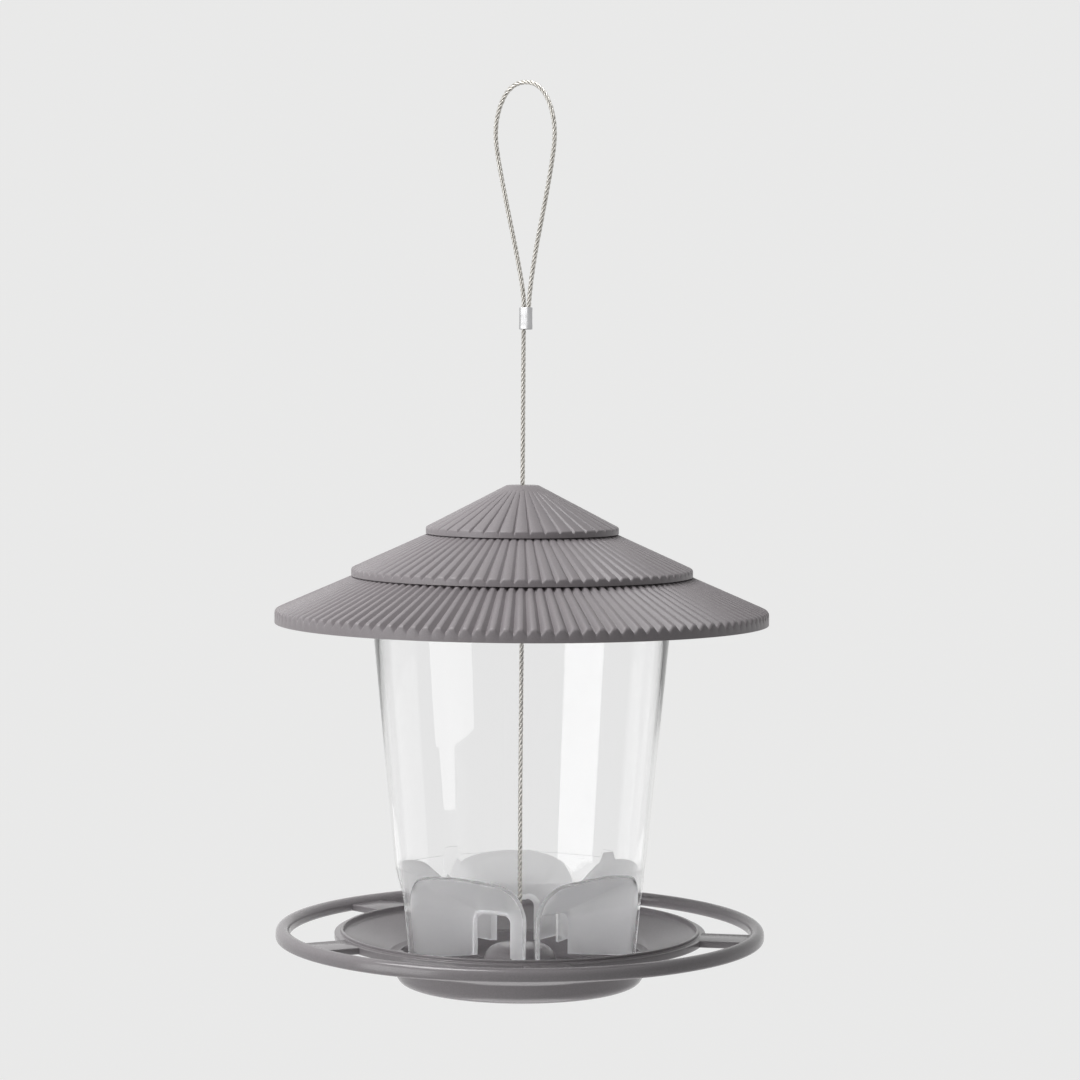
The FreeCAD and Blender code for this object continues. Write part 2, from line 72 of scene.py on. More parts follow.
def deselect_all():
    """Leaves edit mode and selects nothing, so that the next operator acts on its own piece only."""
    if bpy.context.object and bpy.context.object.mode != "OBJECT":
        bpy.ops.object.mode_set(mode="OBJECT")
    bpy.ops.object.select_all(action="DESELECT")


deselect_all()
bpy.ops.object.camera_add()
camera = bpy.context.object
camera.name = "photo_camera"
camera.data.lens = LENS_MM
camera.data.sensor_width = SENSOR_MM
tilt = Matrix.Rotation(math.pi / 2 - CAMERA_PITCH, 4, "X") @ Matrix.Rotation(CAMERA_ROLL, 4, "Z")
camera.matrix_world = Matrix.Translation(CAMERA_PLACE) @ tilt
bpy.context.scene.camera = camera
print("camera at", [round(value, 3) for value in CAMERA_PLACE], "with", LENS_MM, "mm")

# %% [markdown]
# ## Studio
# A pale sweep runs under and behind the feeder. A sweep is a floor whose back edge turns up into a
# wall in one smooth bend, so no line shows where they meet. A plain world colour could give the same
# background, but nothing would then throw light back from below. To the camera, and in glass and
# metal, the sweep has one pale tone; for the rest of the light it is a plain white surface that can
# take a soft shadow.

# %% Build the sweep
FLOOR_Z = RING_Z - 1.3
SWEEP_SIZE = 6
SWEEP_SHIFT = 0.6
SWEEP_BACK = SWEEP_SHIFT + SWEEP_SIZE / 2
WALL_HEIGHT = 4
SWEEP_BEND = 1.4


def select_only(piece):
    """Makes one piece the active one, with nothing else selected."""
    deselect_all()
    bpy.context.view_layer.objects.active = piece
    piece.select_set(True)


def edit(piece):
    """Opens one piece in edit mode."""
    select_only(piece)
    bpy.ops.object.mode_set(mode="EDIT")


def pick(piece, test, kind="VERT"):
    """Selects the vertices, edges or faces of the piece in edit mode whose middle passes a test."""
    bpy.ops.mesh.select_mode(type=kind)
    bpy.ops.mesh.select_all(action="DESELECT")
    bpy.ops.object.mode_set(mode="OBJECT")
    mesh = piece.data
    parts = {"VERT": mesh.vertices, "EDGE": mesh.edges, "FACE": mesh.polygons}[kind]
    for part in parts:
        if kind == "VERT":
            middle = part.co
        else:
            corners = [mesh.vertices[i].co for i in part.vertices]
            middle = sum(corners, Vector()) / len(corners)
        part.select = test(middle)
    bpy.ops.object.mode_set(mode="EDIT")


deselect_all()
bpy.ops.mesh.primitive_plane_add(size=SWEEP_SIZE, location=(0, SWEEP_SHIFT, FLOOR_Z))
sweep = bpy.context.object
sweep.name = "sweep"
bpy.ops.object.transform_apply(location=True, rotation=True, scale=True)
edit(sweep)
pick(sweep, lambda middle: middle.y > SWEEP_BACK - 0.1, "EDGE")
bpy.ops.mesh.extrude_region_move(TRANSFORM_OT_translate={"value": (0, 0, WALL_HEIGHT)})
pick(sweep, lambda middle: middle.y > SWEEP_BACK - 0.1 and abs(middle.z - FLOOR_Z) < 0.01, "EDGE")
bpy.ops.mesh.bevel(offset=SWEEP_BEND, segments=16, affect="EDGES")
bpy.ops.object.mode_set(mode="OBJECT")
bpy.ops.object.shade_smooth()
print("sweep has", len(sweep.data.polygons), "faces")


# %% Give the sweep and the world their tone
def adder(tree):
    """Call that adds a node to a tree and sets its sockets, or else its settings, by name."""
    def add(kind, **values):
        node = tree.nodes.new(kind)
        for key, value in values.items():
            if key in node.inputs:
                node.inputs[key].default_value = value
            else:
                setattr(node, key, value)
        return node

    return add


def nodes_of(owner):
    """Empties the node tree of a material or world and gives the two calls that fill it."""
    owner.use_nodes = True
    owner.node_tree.nodes.clear()
    return adder(owner.node_tree), owner.node_tree.links.new


def seen_directly(add, link):
    """1 for what the camera sees, also by way of glass or metal, and 0 for other light."""
    path = add("ShaderNodeLightPath")
    first = add("ShaderNodeMath", operation="MAXIMUM")
    both = add("ShaderNodeMath", operation="MAXIMUM")
    link(path.outputs["Is Camera Ray"], first.inputs[0])
    link(path.outputs["Is Glossy Ray"], first.inputs[1])
    link(first.outputs[0], both.inputs[0])
    link(path.outputs["Is Transmission Ray"], both.inputs[1])
    return both.outputs[0]


PALE = (0.885, 0.885, 0.882, 1)
GLOW_SHARE = 0.9
BACKDROP = 0.92
AMBIENT = 0.15
sweep_paint = bpy.data.materials.new("pale_sweep")
add, link = nodes_of(sweep_paint)
paper = add("ShaderNodeBsdfDiffuse", Color=(0.8, 0.8, 0.8, 1))
glow = add("ShaderNodeEmission", Color=PALE, Strength=1.0)
tone = add("ShaderNodeMixShader")
output = add("ShaderNodeOutputMaterial")
soften = add("ShaderNodeMath", operation="MULTIPLY")
soften.inputs[1].default_value = GLOW_SHARE
link(seen_directly(add, link), soften.inputs[0])
link(soften.outputs[0], tone.inputs[0])
link(paper.outputs[0], tone.inputs[1])
link(glow.outputs[0], tone.inputs[2])
link(tone.outputs[0], output.inputs["Surface"])
sweep.data.materials.append(sweep_paint)

world = bpy.data.worlds.new("studio_air")
bpy.context.scene.world = world
add, link = nodes_of(world)
air = add("ShaderNodeBackground", Color=(1, 1, 1, 1), Strength=AMBIENT)
backdrop = add("ShaderNodeBackground", Color=PALE, Strength=BACKDROP)
choice = add("ShaderNodeMixShader")
output = add("ShaderNodeOutputWorld")
link(seen_directly(add, link), choice.inputs[0])
link(air.outputs[0], choice.inputs[1])
link(backdrop.outputs[0], choice.inputs[2])
link(choice.outputs[0], output.inputs["Surface"])
bpy.context.scene.view_settings.view_transform = "Standard"
print("background tone", PALE[:3], "ambient light", AMBIENT)

# %% [markdown]
# ## Lamps
# Soft boxes light the feeder: one on the left, whose reflection stands as a bright band in the clear
# hopper, one high on the left that draws the ribs of the roof, two behind that light both sides and
# shine through the frosted niches, and one below in place of the light that a pale floor throws back.
# The two behind are kept out of reflections, so that the edges of the hopper don't turn white. A
# picture of a studio wrapped round the world could light it too, but separate lamps can be moved one
# by one. A soft box is an area lamp; the larger it is, the softer the shadows.

# %% Hang the lamps
FEEDER_MIDDLE = Vector((0, 0, RING_Z + 0.09))


def soft_box(name, azimuth, elevation, distance, width, height, watts):
    """Area lamp that looks at the feeder from an azimuth, 0 at the camera and positive to the right."""
    turn, rise = math.radians(azimuth), math.radians(elevation)
    away = Vector((math.sin(turn) * math.cos(rise), -math.cos(turn) * math.cos(rise), math.sin(rise)))
    deselect_all()
    bpy.ops.object.light_add(type="AREA", location=FEEDER_MIDDLE + away * distance)
    lamp = bpy.context.object
    lamp.name = name
    lamp.data.shape = "RECTANGLE"
    lamp.data.size = width
    lamp.data.size_y = height
    lamp.data.energy = watts
    lamp.rotation_euler = (-away).to_track_quat("-Z", "Y").to_euler()
    return lamp


soft_box("left_box", azimuth=-56, elevation=4, distance=1.37, width=0.92, height=1.0, watts=7.5)
soft_box("top_box", azimuth=-75, elevation=65, distance=1.3, width=0.7, height=0.7, watts=13)
for name, azimuth, watts in (("left_back_box", -130, 3), ("right_back_box", 125, 4)):
    back_lamp = soft_box(name, azimuth, elevation=12, distance=1.8, width=1.5, height=1.4, watts=watts)
    back_lamp.visible_glossy = False
soft_box("floor_bounce", azimuth=0, elevation=-85, distance=1.2, width=1.0, height=1.0, watts=7)

# %% [markdown]
# ## Cable
# The feeder hangs on a twisted steel strand. It starts at a stop under the tray's hub, runs straight
# up the axis through hopper and roof, makes a long loop and ends beside itself in a crimped sleeve.
# Its route is one smooth NURBS line, drawn from the same points as in the measured model. A tube would
# look like plain wire, so thin strands are laid around a core along that line.

# %% Draw the cable's route
LOOP_TURN = math.radians(-30)
LOOP_SIDE = Vector((math.cos(LOOP_TURN), math.sin(LOOP_TURN), 0))
ROUTE_MM = [
    (0, -18.2), (0, 274.6), (0, 287.2), (-12.64, 338.76), (-16.2, 360.39), (-8.1, 378.15),
    (8.1, 378.15), (16.2, 360.39), (13.61, 338.76), (2.16, 287.2), (2.16, 269.5),
]


def loop_point(side, height):
    """Point in the plane of the loop, from millimetres beside the axis and above the perch ring."""
    return LOOP_SIDE * side * MM + Vector((0, 0, RING_Z + height * MM))


route = bpy.data.curves.new("cable_route", "CURVE")
route.dimensions = "3D"
route.resolution_u = 64
spline = route.splines.new("NURBS")
spline.points.add(len(ROUTE_MM) - 1)
for knot, (side, height) in zip(spline.points, ROUTE_MM):
    knot.co = (*loop_point(side, height), 1)
spline.order_u = 3
spline.use_endpoint_u = True
route_piece = bpy.data.objects.new("cable_route", route)
bare = bpy.data.meshes.new_from_object(route_piece)
ROUTE_LINE = [vertex.co.copy() for vertex in bare.vertices]
CABLE_LENGTH = sum((b - a).length for a, b in zip(ROUTE_LINE, ROUTE_LINE[1:]))
bpy.data.objects.remove(route_piece)
bpy.data.meshes.remove(bare)
print("cable is", round(CABLE_LENGTH, 4), "m long, with", len(ROUTE_LINE), "points")

# %% Space points along the route
STRAND_STEP = 0.6 * MM


def evenly(line, step):
    """Points on a line at equal steps."""
    spots = [line[0]]
    due = step
    walked = 0.0
    for a, b in zip(line, line[1:]):
        run = (b - a).length
        while run and walked + run >= due:
            spots.append(a.lerp(b, (due - walked) / run))
            due += step
        walked += run
    return spots + [line[-1]]


spots = evenly(ROUTE_LINE, STRAND_STEP)
print("each strand goes through", len(spots), "points")

# %% Lay the strands
CABLE_RADIUS = 1.05 * MM
STRANDS = 4
STRAND_RADIUS = 0.37 * CABLE_RADIUS
STRAND_OFFSET = CABLE_RADIUS - STRAND_RADIUS
CORE_RADIUS = 0.3 * CABLE_RADIUS
LAY_LENGTH = 9.5 * MM


def strand(name, centre_line, radius, offset, start):
    """One strand: a thin round line that winds around the route at an offset."""
    across = LOOP_SIDE.cross(Vector((0, 0, 1)))
    data = bpy.data.curves.new(name, "CURVE")
    data.dimensions = "3D"
    data.bevel_depth = radius
    data.bevel_resolution = 1
    data.use_fill_caps = True
    line = data.splines.new("POLY")
    line.points.add(len(centre_line) - 1)
    walked = 0.0
    for i, spot in enumerate(centre_line):
        ahead = centre_line[min(i + 1, len(centre_line) - 1)] - centre_line[max(i - 1, 0)]
        inward = across.cross(ahead.normalized())
        turn = start + 2 * math.pi * walked / LAY_LENGTH
        place = spot + (inward * math.cos(turn) + across * math.sin(turn)) * offset
        line.points[i].co = (*place, 1)
        if i + 1 < len(centre_line):
            walked += (centre_line[i + 1] - spot).length
    piece = bpy.data.objects.new(name, data)
    bpy.context.scene.collection.objects.link(piece)
    return piece


def join(pieces, name):
    """Makes several pieces one mesh."""
    deselect_all()
    for piece in pieces:
        piece.select_set(True)
    bpy.context.view_layer.objects.active = pieces[0]
    bpy.ops.object.convert(target="MESH")
    if len(pieces) > 1:
        bpy.ops.object.join()
    pieces[0].name = name
    return pieces[0]


strands = []
for i in range(STRANDS):
    strands.append(strand("strand", spots, STRAND_RADIUS, STRAND_OFFSET, 2 * math.pi * i / STRANDS))
strands.append(strand("core", spots, CORE_RADIUS, 0, 0))
cable = join(strands, "steel_strand_cable")
edit(cable)
bpy.ops.mesh.select_all(action="SELECT")
bpy.ops.mesh.remove_doubles(threshold=1e-7)
bpy.ops.object.mode_set(mode="OBJECT")
bpy.ops.object.shade_smooth()
print("cable has", len(cable.data.polygons), "faces")

# %% [markdown]
# ## Turned pieces
# The tray, the perch ring, the hopper's cones and the underside of the roof are round. They could be
# put together from cylinders and cones, but each wall and rounding would then need a cut of its own.
# A line drawn in the plane y = 0 holds them all: one vertex is extruded from point to point, and spin
# turns the line round the axis. Plastic edges are never sharp, so the corners of the line are rounded
# before it is spun.

# %% Round the corners of a profile
CHORD_DEGREES = 18


def rounded(profile):
    """Points of a closed profile from (radius, height, rounding) corners, all in millimetres."""
    points = []
    count = len(profile)
    for i, (r, z, rounding) in enumerate(profile):
        corner = Vector((r, z))
        before = Vector(profile[i - 1][:2]) - corner
        after = Vector(profile[(i + 1) % count][:2]) - corner
        turn = math.pi - before.angle(after)
        reach = min(rounding * math.tan(turn / 2), 0.49 * before.length, 0.49 * after.length)
        if reach < 1e-3:
            points.append(corner)
            continue
        start = corner + before.normalized() * reach
        end = corner + after.normalized() * reach
        inward = (before.normalized() + after.normalized()).normalized()
        centre = corner + inward * math.hypot(reach, reach / math.tan(turn / 2))
        arc = (start - centre).length
        steps = max(2, math.ceil(math.degrees(turn) / CHORD_DEGREES))
        for k in range(steps + 1):
            spoke = (start - centre).slerp(end - centre, k / steps).normalized()
            points.append(centre + spoke * arc)
    return [Vector((point.x * MM, 0, RING_Z + point.y * MM)) for point in points]


print("a rounded corner turns by at most", CHORD_DEGREES, "degrees a step")

# %% Draw a line and spin it
SPIN_STEPS = 192


def draw_line(name, points):
    """Opens a new piece in edit mode, with a line drawn through the points by extruding one vertex."""
    deselect_all()
    bpy.ops.mesh.primitive_plane_add(size=0.001)
    piece = bpy.context.object
    piece.name = name
    bpy.ops.object.mode_set(mode="EDIT")
    bpy.ops.mesh.select_mode(type="VERT")
    bpy.ops.mesh.select_all(action="SELECT")
    bpy.ops.mesh.merge(type="CENTER")
    bpy.ops.transform.translate(value=points[0])
    for a, b in zip(points, points[1:]):
        bpy.ops.mesh.extrude_vertices_move(TRANSFORM_OT_translate={"value": b - a})
    return piece


def weld(reach=2e-6):
    """Merges doubled vertices of the piece in edit mode and turns its faces outwards."""
    bpy.ops.mesh.select_all(action="SELECT")
    bpy.ops.mesh.remove_doubles(threshold=reach)
    bpy.ops.mesh.normals_make_consistent(inside=False)


def turned(name, profile, closed=True):
    """Piece spun from (radius, height, rounding) corners, in millimetres above the perch ring."""
    points = rounded(profile)
    piece = draw_line(name, points + points[:1] if closed else points)
    bpy.ops.mesh.select_all(action="SELECT")
    bpy.ops.mesh.spin(steps=SPIN_STEPS, angle=2 * math.pi, center=(0, 0, 0), axis=(0, 0, 1))
    weld()
    bpy.ops.object.mode_set(mode="OBJECT")
    return piece


def smooth(piece, degrees=35):
    """Smooth shading, with the edges sharper than an angle left crisp."""
    select_only(piece)
    bpy.ops.object.shade_smooth_by_angle(angle=math.radians(degrees))


print("a line is spun in", SPIN_STEPS, "steps")

# %% [markdown]
# ## Tray
# The tray is a shallow dish with a deeper well, where the hopper stands, and a domed hub for the
# cable. Five small catches on the ledge hold the hopper's feet when it is twisted. The dish is spun.
# A catch could be cut from one block, but three bevelled bars joined into one keep their edges soft;
# one catch is built and copied.

# %% Make bevelled bars, join them and copy them round
BAR_BEVEL_STEPS = 3


def apply_modifier(piece, kind, **settings):
    """Adds one modifier to a piece and applies it."""
    select_only(piece)
    modifier = piece.modifiers.new(kind.lower(), kind)
    for key, value in settings.items():
        setattr(modifier, key, value)
    bpy.ops.object.modifier_apply(modifier=modifier.name)


def combine(piece, tools, operation):
    """Joins, cuts or trims a piece with other pieces, which are used up."""
    for tool in tools:
        apply_modifier(piece, "BOOLEAN", operation=operation, solver="EXACT", object=tool)
        bpy.data.objects.remove(tool)


def bar(name, low, high, edge):
    """Block between two corners in millimetres above the perch ring, with bevelled edges."""
    deselect_all()
    bpy.ops.mesh.primitive_cube_add(size=1)
    piece = bpy.context.object
    piece.name = name
    size = [b - a for a, b in zip(low, high)]
    middle = [(a + b) / 2 for a, b in zip(low, high)]
    piece.scale = [value * MM for value in size]
    piece.location = (middle[0] * MM, middle[1] * MM, RING_Z + middle[2] * MM)
    bpy.ops.object.transform_apply(location=True, rotation=True, scale=True)
    bpy.ops.object.mode_set(mode="EDIT")
    bpy.ops.mesh.select_all(action="SELECT")
    bpy.ops.mesh.bevel(offset=edge * MM, segments=BAR_BEVEL_STEPS, affect="EDGES")
    bpy.ops.object.mode_set(mode="OBJECT")
    return piece


def copies_around(piece, count, azimuth):
    """Copies of a piece made along +X, turned evenly round from an azimuth on. Uses up the piece."""
    copies = []
    for i in range(count):
        select_only(piece)
        bpy.ops.object.duplicate()
        copy = bpy.context.object
        copy.rotation_euler = (0, 0, math.radians(azimuth - 90 + 360 / count * i))
        bpy.ops.object.transform_apply(location=True, rotation=True, scale=True)
        copies.append(copy)
    bpy.data.objects.remove(piece)
    return copies


print("a bar's edge is bevelled in", BAR_BEVEL_STEPS, "steps")

# %% Model the tray
NICHES = 5
POST_AZIMUTH = 5.6
TRAY_PROFILE = [
    (14.0, -22.8, 0.6), (54.8, -22.8, 4.4), (56.0, -14.0, 2.0), (58.4, -11.8, 3.0), (80.8, -3.73, 2.0),
    (83.0, -3.0, 0.7), (83.0, 0.1, 0.45), (80.3, 0.1, 0.3), (80.3, 1.5, 0.45), (79.0, 1.5, 0.45),
    (79.0, -1.3, 1.2), (58.4, -9.6, 1.0), (53.8, -9.6, 0.6), (52.6, -20.6, 3.0), (16.2, -20.6, 1.2),
    (16.2, -6.2, 8.0), (1.35, -5.6, 0.3), (1.35, -7.8, 0.3), (14.0, -7.8, 6.0),
]
CATCH_EDGE = 0.25
CATCH_BARS = [
    ("catch", (56.1, -7.4, -9.7), (57.8, -3.1, -6.2)),
    ("catch_lip", (54.0, -7.4, -7.9), (57.7, -3.1, -6.25)),
    ("catch_stop", (54.0, -7.4, -9.7), (57.7, -5.75, -6.3)),
]
tray = turned("tray_dish", TRAY_PROFILE)
catch, *additions = [bar(name, low, high, CATCH_EDGE) for name, low, high in CATCH_BARS]
combine(catch, additions, "UNION")
combine(tray, copies_around(catch, NICHES, POST_AZIMUTH), "UNION")
smooth(tray)
print("tray has", len(tray.data.polygons), "faces")

# %% [markdown]
# ## Perch ring
# Birds stand on the ring around the tray. It has a round top and a flat foot, and five flat spokes
# tie it to the rim of the tray. A torus would be quick but has no flat foot, so a short profile is
# spun. One spoke is a bevelled bar, copied round and joined to the ring.

# %% Model the perch ring
RING_INNER, RING_OUTER = 103.0, 109.2
RING_HALF_HEIGHT = 3.0
RING_FOOT_ROUND, RING_TOP_ROUND = 1.4, 3.05
SPOKES = 5
SPOKE_START, SPOKE_END = 80.6, 105.6
SPOKE_UNDER, SPOKE_TOP = -2.8, 0.12
SPOKE_WIDTH = 20.6
SPOKE_EDGE = 0.35
SPOKE_AZIMUTH = 8.2
perch = turned("perch_hoop", [
    (RING_INNER, -RING_HALF_HEIGHT, RING_FOOT_ROUND), (RING_OUTER, -RING_HALF_HEIGHT, RING_FOOT_ROUND),
    (RING_OUTER, RING_HALF_HEIGHT, RING_TOP_ROUND), (RING_INNER, RING_HALF_HEIGHT, RING_TOP_ROUND),
])
spoke_low = (SPOKE_START, -SPOKE_WIDTH / 2, SPOKE_UNDER)
spoke_high = (SPOKE_END, SPOKE_WIDTH / 2, SPOKE_TOP)
spoke = bar("spoke", spoke_low, spoke_high, SPOKE_EDGE)
combine(perch, copies_around(spoke, SPOKES, SPOKE_AZIMUTH), "UNION")
smooth(perch)
print("perch ring has", len(perch.data.polygons), "faces")

# %% [markdown]
# ## Hopper
# The hopper is one clear moulding: a thin cone with five funnel-shaped niches pressed into its foot,
# where the birds reach the seed. One skin thickened by a modifier would get an uneven wall where a
# niche meets the cone, so it is built as its mould makes it, from an outer and an inner shape. The
# outer shape is a spun cone, with a funnel cut out for each niche; bridging a small arch near the
# axis and a large one outside the wall gives that funnel. The inner shape is a smaller cone, cut by
# funnels one wall thicker. Outer minus inner is the wall. Near the axis each funnel is drawn in a
# little, which leaves a rounded lip around the throat.

# %% Note the sizes of the hopper
HOPPER_FOOT, HOPPER_TOP = -8.2, 154.0
HOPPER_FOOT_RADIUS, HOPPER_TOP_RADIUS = 52.2, 68.0
HOPPER_WALL = 1.8
NICHE_TOP = 30.2
PARTING_STEP = 0.25
SPARE = 4.0
RIM_FLARE = 0.5
POST_WIDTH = 7.9
THROAT_DISTANCE, THROAT_HALF_WIDTH, THROAT_HEIGHT, THROAT_CORNER = 22.6, 8.8, 18.9, 3.5
MOUTH_CORNER = 11.5
LIP, LIP_ROUND = 1.0, 0.3


def hopper_radius(z):
    """Outer radius of the cone at a height, in millimetres."""
    share = (z - HOPPER_FOOT) / (HOPPER_TOP - HOPPER_FOOT)
    return HOPPER_FOOT_RADIUS + (HOPPER_TOP_RADIUS - HOPPER_FOOT_RADIUS) * share


half_mouth = math.pi / NICHES - POST_WIDTH / 2 / HOPPER_FOOT_RADIUS
MOUTH_DISTANCE = HOPPER_FOOT_RADIUS * math.cos(half_mouth)
MOUTH_HALF_WIDTH = HOPPER_FOOT_RADIUS * math.sin(half_mouth)
NICHE_RADIUS = hopper_radius(NICHE_TOP)
FUNNEL_END = NICHE_RADIUS + 3
FIRST_NICHE = POST_AZIMUTH + 180 / NICHES
print("a niche is", round(2 * MOUTH_HALF_WIDTH, 1), "mm wide outside")
print("and", 2 * THROAT_HALF_WIDTH, "mm wide at its throat")

# %% Make the funnels of a niche
ARCH_STEPS = 12
NEAR = 1e-6


def arch(distance, grow, below):
    """Outline of a niche across its axis, grown by a wall, as points at a distance from the axis."""
    run = distance - THROAT_DISTANCE
    side_slope = (MOUTH_HALF_WIDTH - THROAT_HALF_WIDTH) / (MOUTH_DISTANCE - THROAT_DISTANCE)
    roof_slope = (NICHE_TOP - HOPPER_FOOT - THROAT_HEIGHT) / (NICHE_RADIUS - THROAT_DISTANCE)
    corner_slope = (MOUTH_CORNER - THROAT_CORNER) / (MOUTH_DISTANCE - THROAT_DISTANCE)
    half = THROAT_HALF_WIDTH + run * side_slope + grow * math.hypot(1, side_slope)
    top = HOPPER_FOOT + THROAT_HEIGHT + run * roof_slope + grow * math.hypot(1, roof_slope)
    corner = THROAT_CORNER + run * corner_slope + grow
    points = [(half, HOPPER_FOOT - below)]
    for i in range(ARCH_STEPS + 1):
        turn = math.pi / 2 * i / ARCH_STEPS
        points.append((half - corner + corner * math.cos(turn), top - corner + corner * math.sin(turn)))
    points += [(-y, z) for y, z in reversed(points)]
    return [Vector((distance * MM, y * MM, RING_Z + z * MM)) for y, z in points]


def funnel(name, sections, below):
    """Closed funnel through arches given as (distance from the axis, growth), made along +X."""
    loops = []
    for distance, grow in sections:
        points = arch(distance, grow, below)
        loops.append(draw_line(name, points + points[:1]))
        weld()
        bpy.ops.object.mode_set(mode="OBJECT")
    piece = join(loops, name)
    edit(piece)
    bpy.ops.mesh.select_mode(type="EDGE")
    for (near, _), (far, _) in zip(sections, sections[1:]):
        pick(piece, lambda middle: min(abs(middle.x - near * MM), abs(middle.x - far * MM)) < NEAR, "EDGE")
        bpy.ops.mesh.bridge_edge_loops()
    for distance in (sections[0][0], sections[-1][0]):
        pick(piece, lambda middle: abs(middle.x - distance * MM) < NEAR, "EDGE")
        bpy.ops.mesh.edge_face_add()
    weld()
    bpy.ops.object.mode_set(mode="OBJECT")
    return piece


lining = funnel("lining", [(THROAT_DISTANCE, HOPPER_WALL), (FUNNEL_END, HOPPER_WALL)], 2 * SPARE)
linings = join(copies_around(lining, NICHES, FIRST_NICHE), "linings")
pocket = funnel("pocket", [
    (THROAT_DISTANCE - HOPPER_WALL, 0), (THROAT_DISTANCE, -LIP_ROUND),
    (THROAT_DISTANCE + LIP, 0), (FUNNEL_END, 0),
], 3 * SPARE)
pockets = join(copies_around(pocket, NICHES, FIRST_NICHE), "pockets")
print("pockets have", len(pockets.data.polygons), "faces, linings", len(linings.data.polygons))

# %% Spin the outer and the inner cone
low, high = HOPPER_FOOT - SPARE, HOPPER_TOP + SPARE
hopper = turned("clear_hopper", [
    (0, HOPPER_FOOT, 0), (HOPPER_FOOT_RADIUS, HOPPER_FOOT, 0), (NICHE_RADIUS, NICHE_TOP, 0),
    (NICHE_RADIUS + PARTING_STEP, NICHE_TOP, 0.1), (HOPPER_TOP_RADIUS, HOPPER_TOP, 0.7), (0, HOPPER_TOP, 0),
], closed=False)
room = turned("hopper_room", [
    (0, low, 0), (hopper_radius(low) - HOPPER_WALL, low, 0),
    (HOPPER_TOP_RADIUS - HOPPER_WALL, HOPPER_TOP - RIM_FLARE, 1.5),
    (HOPPER_TOP_RADIUS - HOPPER_WALL + RIM_FLARE, HOPPER_TOP + RIM_FLARE, 0),
    (HOPPER_TOP_RADIUS, high, 0), (0, high, 0),
], closed=False)
print("outer cone has", len(hopper.data.polygons), "faces, inner cone", len(room.data.polygons))

# %% Hollow the hopper and give it feet
FOOT_LOW, FOOT_HIGH = (50.4, -5.2, -9.4), (55.8, 5.2, -8.15)
FOOT_EDGE = 0.3
combine(hopper, [pockets], "DIFFERENCE")
combine(room, [linings], "DIFFERENCE")
combine(hopper, [room], "DIFFERENCE")
foot = bar("foot", FOOT_LOW, FOOT_HIGH, FOOT_EDGE)
combine(hopper, [join(copies_around(foot, NICHES, POST_AZIMUTH), "feet")], "UNION")
edit(hopper)
weld()
bpy.ops.object.mode_set(mode="OBJECT")
smooth(hopper, degrees=30)
print("hopper has", len(hopper.data.polygons), "faces")

# %% [markdown]
# ## Roof
# The roof is a low cone in three overlapping tiers, ribbed like thatch: fine round ridges below, wide
# flat ribs with narrow grooves above. Displacing a plain cone would need very many faces to keep the
# ribs crisp. One rib of each tier is drawn across its pitch instead, turned down over the rim, and
# extruded up the slope by scaling it towards the tip of its cone. Spin with copies then sets it round
# the axis. The hollow underside is turned, with a collar that centres the roof on the hopper.

# %% Draw across one rib
def rib_section(crown):
    """Places across a rib, in pitches from its middle, with depths: 0 on the crown, 1 in the groove."""
    flank = 1 - crown
    right = [
        (0, 0), (crown - 0.1 * min(crown, flank), 0.01), (crown + 0.08 * flank, 0.1),
        (crown + 0.3 * flank, 0.36), (1 - 0.22 * flank, 0.8), (1 - 0.08 * flank, 0.955), (1, 1),
    ]
    left = [(-turn, depth) for turn, depth in reversed(right[1:])]
    return [(turn / 2, depth) for turn, depth in left + right]


print("a rib is drawn with", len(rib_section(0.5)), "points")

# %% Raise the tiers from their ribs
ROOF_RIM = 138.7
BEND_ROWS = 3


